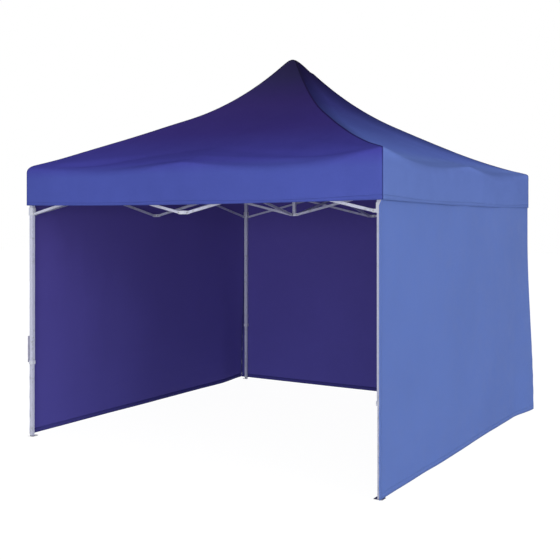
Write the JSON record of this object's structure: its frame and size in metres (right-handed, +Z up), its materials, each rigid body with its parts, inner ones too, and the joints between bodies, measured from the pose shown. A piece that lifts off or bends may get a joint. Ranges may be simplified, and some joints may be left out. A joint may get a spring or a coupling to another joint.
{
  "type": "pop up canopy",
  "caption": "Pop-up canopy shelter with a folding scissor frame, telescoping legs, central mast, pointed fabric roof with valance and three fabric walls.",
  "frame": {"origin": "on the ground at the middle of the plan", "axes": "+Z up, -Y out of the open front, +X to the right of someone looking in at the front"},
  "size_m": [2.98, 2.98, 2.95],
  "materials": {
    "white_steel": "satin",
    "white_plastic": "satin",
    "blue_fabric": "matte"
  },
  "bodies": {
    "upper_hub": {"hub_upper": "white_plastic", "roof": "blue_fabric"},
    "arm_high_front": {"arm_bar_front_high": "white_steel"},
    "arm_low_front": {"arm_bar_front_low": "white_steel"},
    "top_connector_front": {"mid_top_front": "white_plastic"},
    "bottom_connector_front": {"mid_bottom_front": "white_plastic"},
    "lower_hub_and_mast": {"hub_lower": "white_plastic", "mast": "white_steel", "mast_cap": "white_plastic"},
    "side_high_front_to_front_right": {"side_bar_front_to_front_right_high": "white_steel"},
    "side_low_front_to_front_right": {"side_bar_front_to_front_right_low": "white_steel"},
    "leg_front_right": {"leg_outer_front_right": "white_steel"},
    "slider_front_right": {"slider_front_right": "white_plastic"},
    "inner_leg_front_right": {"leg_inner_front_right": "white_steel"},
    "slider_button_front_right": {"slider_button_front_right": "white_plastic"},
    "leg_latch_button_front_right": {"leg_latch_button_front_right": "white_plastic"},
    "side_high_front_to_front_left": {"side_bar_front_to_front_left_high": "white_steel"},
    "side_low_front_to_front_left": {"side_bar_front_to_front_left_low": "white_steel"},
    "arm_high_right": {"arm_bar_right_high": "white_steel"},
    "arm_low_right": {"arm_bar_right_low": "white_steel"},
    "top_connector_right": {"mid_top_right": "white_plastic", "wall_right": "blue_fabric"},
    "bottom_connector_right": {"mid_bottom_right": "white_plastic"},
    "side_high_right_to_back_right": {"side_bar_right_to_back_right_high": "white_steel"},
    "side_low_right_to_back_right": {"side_bar_right_to_back_right_low": "white_steel"},
    "leg_back_right": {"leg_outer_back_right": "white_steel"},
    "slider_back_right": {"slider_back_right": "white_plastic"},
    "inner_leg_back_right": {"leg_inner_back_right": "white_steel"},
    "slider_button_back_right": {"slider_button_back_right": "white_plastic"},
    "leg_latch_button_back_right": {"leg_latch_button_back_right": "white_plastic"},
    "side_high_right_to_front_right": {"side_bar_right_to_front_right_high": "white_steel"},
    "side_low_right_to_front_right": {"side_bar_right_to_front_right_low": "white_steel"},
    "arm_high_back": {"arm_bar_back_high": "white_steel"},
    "arm_low_back": {"arm_bar_back_low": "white_steel"},
    "top_connector_back": {"mid_top_back": "white_plastic", "wall_back": "blue_fabric"},
    "bottom_connector_back": {"mid_bottom_back": "white_plastic"},
    "side_high_back_to_back_left": {"side_bar_back_to_back_left_high": "white_steel"},
    "side_low_back_to_back_left": {"side_bar_back_to_back_left_low": "white_steel"},
    "leg_back_left": {"leg_outer_back_left": "white_steel"},
    "slider_back_left": {"slider_back_left": "white_plastic"},
    "inner_leg_back_left": {"leg_inner_back_left": "white_steel"},
    "slider_button_back_left": {"slider_button_back_left": "white_plastic"},
    "leg_latch_button_back_left": {"leg_latch_button_back_left": "white_plastic"},
    "side_high_back_to_back_right": {"side_bar_back_to_back_right_high": "white_steel"},
    "side_low_back_to_back_right": {"side_bar_back_to_back_right_low": "white_steel"},
    "arm_high_left": {"arm_bar_left_high": "white_steel"},
    "arm_low_left": {"arm_bar_left_low": "white_steel"},
    "top_connector_left": {"mid_top_left": "white_plastic", "wall_left": "blue_fabric"},
    "bottom_connector_left": {"mid_bottom_left": "white_plastic"},
    "side_high_left_to_front_left": {"side_bar_left_to_front_left_high": "white_steel"},
    "side_low_left_to_front_left": {"side_bar_left_to_front_left_low": "white_steel"},
    "leg_front_left": {"leg_outer_front_left": "white_steel"},
    "slider_front_left": {"slider_front_left": "white_plastic"},
    "inner_leg_front_left": {"leg_inner_front_left": "white_steel"},
    "slider_button_front_left": {"slider_button_front_left": "white_plastic"},
    "leg_latch_button_front_left": {"leg_latch_button_front_left": "white_plastic"},
    "side_high_left_to_back_left": {"side_bar_left_to_back_left_high": "white_steel"},
    "side_low_left_to_back_left": {"side_bar_left_to_back_left_low": "white_steel"}
  },
  "joints": [
    {"name": "canopy_fold", "type": "hinge", "parent": "upper_hub", "child": "arm_high_front", "pos_m": [0.0065, -0.036, 2.01], "axis": [1, 0, 0], "range_deg": [0, 74.56], "deforming": ["roof", "wall_left", "wall_back", "wall_right"]},
    {"name": "arm_front_crossing", "type": "hinge", "parent": "arm_high_front", "child": "arm_low_front", "pos_m": [0, -0.728, 1.85], "axis": [1, 0, 0], "range_deg": [-149.12, 0]},
    {"name": "arm_front_at_top_connector", "type": "hinge", "parent": "arm_low_front", "child": "top_connector_front", "pos_m": [-0.0065, -1.42, 2.01], "axis": [1, 0, 0], "range_deg": [0, 74.56]},
    {"name": "arm_front_at_bottom_connector", "type": "hinge", "parent": "arm_high_front", "child": "bottom_connector_front", "pos_m": [0.0065, -1.42, 1.69], "axis": [1, 0, 0], "range_deg": [-74.56, 0]},
    {"name": "arm_front_at_lower_hub", "type": "hinge", "parent": "arm_low_front", "child": "lower_hub_and_mast", "pos_m": [-0.0065, -0.036, 1.69], "axis": [1, 0, 0], "range_deg": [0, 74.56]},
    {"name": "front_to_front_right_at_top_connector", "type": "hinge", "parent": "top_connector_front", "child": "side_high_front_to_front_right", "pos_m": [0.036, -1.4625, 2.01], "axis": [0, 1, 0], "range_deg": [0, 74.56]},
    {"name": "front_to_front_right_at_bottom_connector", "type": "hinge", "parent": "bottom_connector_front", "child": "side_low_front_to_front_right", "pos_m": [0.036, -1.4495, 1.69], "axis": [0, 1, 0], "range_deg": [-74.56, 0]},
    {"name": "leg_front_right_at_bar", "type": "hinge", "parent": "side_low_front_to_front_right", "child": "leg_front_right", "pos_m": [1.42, -1.4495, 2.01], "axis": [0, 1, 0], "range_deg": [0, 74.56]},
    {"name": "slider_front_right_at_bar", "type": "hinge", "parent": "side_high_front_to_front_right", "child": "slider_front_right", "pos_m": [1.42, -1.4625, 1.69], "axis": [0, 1, 0], "range_deg": [-74.56, 0]},
    {"name": "leg_height_front_right", "type": "slide", "parent": "leg_front_right", "child": "inner_leg_front_right", "axis": [0, 0, 1], "range_m": [0, 0.53]},
    {"name": "slider_button_front_right_press", "type": "slide", "parent": "slider_front_right", "child": "slider_button_front_right", "axis": [1, 0, 0], "range_m": [0, 0.0028], "stiffness_N_per_m": 1500, "springref_m": -0.002},
    {"name": "leg_latch_button_front_right_press", "type": "slide", "parent": "leg_front_right", "child": "leg_latch_button_front_right", "axis": [1, 0, 0], "range_m": [0, 0.0028], "stiffness_N_per_m": 1500, "springref_m": -0.002},
    {"name": "front_to_front_left_at_top_connector", "type": "hinge", "parent": "top_connector_front", "child": "side_high_front_to_front_left", "pos_m": [-0.036, -1.4625, 2.01], "axis": [0, -1, 0], "range_deg": [0, 74.56]},
    {"name": "front_to_front_left_at_bottom_connector", "type": "hinge", "parent": "bottom_connector_front", "child": "side_low_front_to_front_left", "pos_m": [-0.036, -1.4495, 1.69], "axis": [0, -1, 0], "range_deg": [-74.56, 0]},
    {"name": "arm_right_at_upper_hub", "type": "hinge", "parent": "upper_hub", "child": "arm_high_right", "pos_m": [0.036, 0.0065, 2.01], "axis": [0, 1, 0], "range_deg": [0, 74.56]},
    {"name": "arm_right_crossing", "type": "hinge", "parent": "arm_high_right", "child": "arm_low_right", "pos_m": [0.728, 0, 1.85], "axis": [0, 1, 0], "range_deg": [-149.12, 0]},
    {"name": "arm_right_at_top_connector", "type": "hinge", "parent": "arm_low_right", "child": "top_connector_right", "pos_m": [1.42, -0.0065, 2.01], "axis": [0, 1, 0], "range_deg": [0, 74.56]},
    {"name": "arm_right_at_bottom_connector", "type": "hinge", "parent": "arm_high_right", "child": "bottom_connector_right", "pos_m": [1.42, 0.0065, 1.69], "axis": [0, 1, 0], "range_deg": [-74.56, 0]},
    {"name": "right_to_back_right_at_top_connector", "type": "hinge", "parent": "top_connector_right", "child": "side_high_right_to_back_right", "pos_m": [1.4625, 0.036, 2.01], "axis": [-1, 0, 0], "range_deg": [0, 74.56]},
    {"name": "right_to_back_right_at_bottom_connector", "type": "hinge", "parent": "bottom_connector_right", "child": "side_low_right_to_back_right", "pos_m": [1.4495, 0.036, 1.69], "axis": [-1, 0, 0], "range_deg": [-74.56, 0]},
    {"name": "leg_back_right_at_bar", "type": "hinge", "parent": "side_low_right_to_back_right", "child": "leg_back_right", "pos_m": [1.4495, 1.42, 2.01], "axis": [-1, 0, 0], "range_deg": [0, 74.56]},
    {"name": "slider_back_right_at_bar", "type": "hinge", "parent": "side_high_right_to_back_right", "child": "slider_back_right", "pos_m": [1.4625, 1.42, 1.69], "axis": [-1, 0, 0], "range_deg": [-74.56, 0]},
    {"name": "leg_height_back_right", "type": "slide", "parent": "leg_back_right", "child": "inner_leg_back_right", "axis": [0, 0, 1], "range_m": [0, 0.53]},
    {"name": "slider_button_back_right_press", "type": "slide", "parent": "slider_back_right", "child": "slider_button_back_right", "axis": [0, 1, 0], "range_m": [0, 0.0028], "stiffness_N_per_m": 1500, "springref_m": -0.002},
    {"name": "leg_latch_button_back_right_press", "type": "slide", "parent": "leg_back_right", "child": "leg_latch_button_back_right", "axis": [0, 1, 0], "range_m": [0, 0.0028], "stiffness_N_per_m": 1500, "springref_m": -0.002},
    {"name": "right_to_front_right_at_top_connector", "type": "hinge", "parent": "top_connector_right", "child": "side_high_right_to_front_right", "pos_m": [1.4625, -0.036, 2.01], "axis": [1, 0, 0], "range_deg": [0, 74.56]},
    {"name": "right_to_front_right_at_bottom_connector", "type": "hinge", "parent": "bottom_connector_right", "child": "side_low_right_to_front_right", "pos_m": [1.4495, -0.036, 1.69], "axis": [1, 0, 0], "range_deg": [-74.56, 0]},
    {"name": "arm_back_at_upper_hub", "type": "hinge", "parent": "upper_hub", "child": "arm_high_back", "pos_m": [-0.0065, 0.036, 2.01], "axis": [-1, 0, 0], "range_deg": [0, 74.56]},
    {"name": "arm_back_crossing", "type": "hinge", "parent": "arm_high_back", "child": "arm_low_back", "pos_m": [0, 0.728, 1.85], "axis": [-1, 0, 0], "range_deg": [-149.12, 0]},
    {"name": "arm_back_at_top_connector", "type": "hinge", "parent": "arm_low_back", "child": "top_connector_back", "pos_m": [0.0065, 1.42, 2.01], "axis": [-1, 0, 0], "range_deg": [0, 74.56]},
    {"name": "arm_back_at_bottom_connector", "type": "hinge", "parent": "arm_high_back", "child": "bottom_connector_back", "pos_m": [-0.0065, 1.42, 1.69], "axis": [-1, 0, 0], "range_deg": [-74.56, 0]},
    {"name": "back_to_back_left_at_top_connector", "type": "hinge", "parent": "top_connector_back", "child": "side_high_back_to_back_left", "pos_m": [-0.036, 1.4625, 2.01], "axis": [0, -1, 0], "range_deg": [0, 74.56]},
    {"name": "back_to_back_left_at_bottom_connector", "type": "hinge", "parent": "bottom_connector_back", "child": "side_low_back_to_back_left", "pos_m": [-0.036, 1.4495, 1.69], "axis": [0, -1, 0], "range_deg": [-74.56, 0]},
    {"name": "leg_back_left_at_bar", "type": "hinge", "parent": "side_low_back_to_back_left", "child": "leg_back_left", "pos_m": [-1.42, 1.4495, 2.01], "axis": [0, -1, 0], "range_deg": [0, 74.56]},
    {"name": "slider_back_left_at_bar", "type": "hinge", "parent": "side_high_back_to_back_left", "child": "slider_back_left", "pos_m": [-1.42, 1.4625, 1.69], "axis": [0, -1, 0], "range_deg": [-74.56, 0]},
    {"name": "leg_height_back_left", "type": "slide", "parent": "leg_back_left", "child": "inner_leg_back_left", "axis": [0, 0, 1], "range_m": [0, 0.53]},
    {"name": "slider_button_back_left_press", "type": "slide", "parent": "slider_back_left", "child": "slider_button_back_left", "axis": [-1, 0, 0], "range_m": [0, 0.0028], "stiffness_N_per_m": 1500, "springref_m": -0.002},
    {"name": "leg_latch_button_back_left_press", "type": "slide", "parent": "leg_back_left", "child": "leg_latch_button_back_left", "axis": [-1, 0, 0], "range_m": [0, 0.0028], "stiffness_N_per_m": 1500, "springref_m": -0.002},
    {"name": "back_to_back_right_at_top_connector", "type": "hinge", "parent": "top_connector_back", "child": "side_high_back_to_back_right", "pos_m": [0.036, 1.4625, 2.01], "axis": [0, 1, 0], "range_deg": [0, 74.56]},
    {"name": "back_to_back_right_at_bottom_connector", "type": "hinge", "parent": "bottom_connector_back", "child": "side_low_back_to_back_right", "pos_m": [0.036, 1.4495, 1.69], "axis": [0, 1, 0], "range_deg": [-74.56, 0]},
    {"name": "arm_left_at_upper_hub", "type": "hinge", "parent": "upper_hub", "child": "arm_high_left", "pos_m": [-0.036, -0.0065, 2.01], "axis": [0, -1, 0], "range_deg": [0, 74.56]},
    {"name": "arm_left_crossing", "type": "hinge", "parent": "arm_high_left", "child": "arm_low_left", "pos_m": [-0.728, 0, 1.85], "axis": [0, -1, 0], "range_deg": [-149.12, 0]},
    {"name": "arm_left_at_top_connector", "type": "hinge", "parent": "arm_low_left", "child": "top_connector_left", "pos_m": [-1.42, 0.0065, 2.01], "axis": [0, -1, 0], "range_deg": [0, 74.56]},
    {"name": "arm_left_at_bottom_connector", "type": "hinge", "parent": "arm_high_left", "child": "bottom_connector_left", "pos_m": [-1.42, -0.0065, 1.69], "axis": [0, -1, 0], "range_deg": [-74.56, 0]},
    {"name": "left_to_front_left_at_top_connector", "type": "hinge", "parent": "top_connector_left", "child": "side_high_left_to_front_left", "pos_m": [-1.4625, -0.036, 2.01], "axis": [1, 0, 0], "range_deg": [0, 74.56]},
    {"name": "left_to_front_left_at_bottom_connector", "type": "hinge", "parent": "bottom_connector_left", "child": "side_low_left_to_front_left", "pos_m": [-1.4495, -0.036, 1.69], "axis": [1, 0, 0], "range_deg": [-74.56, 0]},
    {"name": "leg_front_left_at_bar", "type": "hinge", "parent": "side_low_left_to_front_left", "child": "leg_front_left", "pos_m": [-1.4495, -1.42, 2.01], "axis": [1, 0, 0], "range_deg": [0, 74.56]},
    {"name": "slider_front_left_at_bar", "type": "hinge", "parent": "side_high_left_to_front_left", "child": "slider_front_left", "pos_m": [-1.4625, -1.42, 1.69], "axis": [1, 0, 0], "range_deg": [-74.56, 0]},
    {"name": "leg_height_front_left", "type": "slide", "parent": "leg_front_left", "child": "inner_leg_front_left", "axis": [0, 0, 1], "range_m": [0, 0.53]},
    {"name": "slider_button_front_left_press", "type": "slide", "parent": "slider_front_left", "child": "slider_button_front_left", "axis": [0, -1, 0], "range_m": [0, 0.0028], "stiffness_N_per_m": 1500, "springref_m": -0.002},
    {"name": "leg_latch_button_front_left_press", "type": "slide", "parent": "leg_front_left", "child": "leg_latch_button_front_left", "axis": [0, -1, 0], "range_m": [0, 0.0028], "stiffness_N_per_m": 1500, "springref_m": -0.002},
    {"name": "left_to_back_left_at_top_connector", "type": "hinge", "parent": "top_connector_left", "child": "side_high_left_to_back_left", "pos_m": [-1.4625, 0.036, 2.01], "axis": [-1, 0, 0], "range_deg": [0, 74.56]},
    {"name": "left_to_back_left_at_bottom_connector", "type": "hinge", "parent": "bottom_connector_left", "child": "side_low_left_to_back_left", "pos_m": [-1.4495, 0.036, 1.69], "axis": [-1, 0, 0], "range_deg": [-74.56, 0]}
  ],
  "couplings": [
    {"joint": "arm_front_crossing", "follows": "canopy_fold", "ratio": -2},
    {"joint": "arm_front_at_top_connector", "follows": "canopy_fold", "ratio": 1},
    {"joint": "arm_front_at_bottom_connector", "follows": "canopy_fold", "ratio": -1},
    {"joint": "arm_front_at_lower_hub", "follows": "canopy_fold", "ratio": 1},
    {"joint": "front_to_front_right_at_top_connector", "follows": "canopy_fold", "ratio": 1},
    {"joint": "front_to_front_right_at_bottom_connector", "follows": "canopy_fold", "ratio": -1},
    {"joint": "leg_front_right_at_bar", "follows": "canopy_fold", "ratio": 1},
    {"joint": "slider_front_right_at_bar", "follows": "canopy_fold", "ratio": -1},
    {"joint": "front_to_front_left_at_top_connector", "follows": "canopy_fold", "ratio": 1},
    {"joint": "front_to_front_left_at_bottom_connector", "follows": "canopy_fold", "ratio": -1},
    {"joint": "arm_right_at_upper_hub", "follows": "canopy_fold", "ratio": 1},
    {"joint": "arm_right_crossing", "follows": "canopy_fold", "ratio": -2},
    {"joint": "arm_right_at_top_connector", "follows": "canopy_fold", "ratio": 1},
    {"joint": "arm_right_at_bottom_connector", "follows": "canopy_fold", "ratio": -1},
    {"joint": "right_to_back_right_at_top_connector", "follows": "canopy_fold", "ratio": 1},
    {"joint": "right_to_back_right_at_bottom_connector", "follows": "canopy_fold", "ratio": -1},
    {"joint": "leg_back_right_at_bar", "follows": "canopy_fold", "ratio": 1},
    {"joint": "slider_back_right_at_bar", "follows": "canopy_fold", "ratio": -1},
    {"joint": "right_to_front_right_at_top_connector", "follows": "canopy_fold", "ratio": 1},
    {"joint": "right_to_front_right_at_bottom_connector", "follows": "canopy_fold", "ratio": -1},
    {"joint": "arm_back_at_upper_hub", "follows": "canopy_fold", "ratio": 1},
    {"joint": "arm_back_crossing", "follows": "canopy_fold", "ratio": -2},
    {"joint": "arm_back_at_top_connector", "follows": "canopy_fold", "ratio": 1},
    {"joint": "arm_back_at_bottom_connector", "follows": "canopy_fold", "ratio": -1},
    {"joint": "back_to_back_left_at_top_connector", "follows": "canopy_fold", "ratio": 1},
    {"joint": "back_to_back_left_at_bottom_connector", "follows": "canopy_fold", "ratio": -1},
    {"joint": "leg_back_left_at_bar", "follows": "canopy_fold", "ratio": 1},
    {"joint": "slider_back_left_at_bar", "follows": "canopy_fold", "ratio": -1},
    {"joint": "back_to_back_right_at_top_connector", "follows": "canopy_fold", "ratio": 1},
    {"joint": "back_to_back_right_at_bottom_connector", "follows": "canopy_fold", "ratio": -1},
    {"joint": "arm_left_at_upper_hub", "follows": "canopy_fold", "ratio": 1},
    {"joint": "arm_left_crossing", "follows": "canopy_fold", "ratio": -2},
    {"joint": "arm_left_at_top_connector", "follows": "canopy_fold", "ratio": 1},
    {"joint": "arm_left_at_bottom_connector", "follows": "canopy_fold", "ratio": -1},
    {"joint": "left_to_front_left_at_top_connector", "follows": "canopy_fold", "ratio": 1},
    {"joint": "left_to_front_left_at_bottom_connector", "follows": "canopy_fold", "ratio": -1},
    {"joint": "leg_front_left_at_bar", "follows": "canopy_fold", "ratio": 1},
    {"joint": "slider_front_left_at_bar", "follows": "canopy_fold", "ratio": -1},
    {"joint": "left_to_back_left_at_top_connector", "follows": "canopy_fold", "ratio": 1},
    {"joint": "left_to_back_left_at_bottom_connector", "follows": "canopy_fold", "ratio": -1}
  ]
}
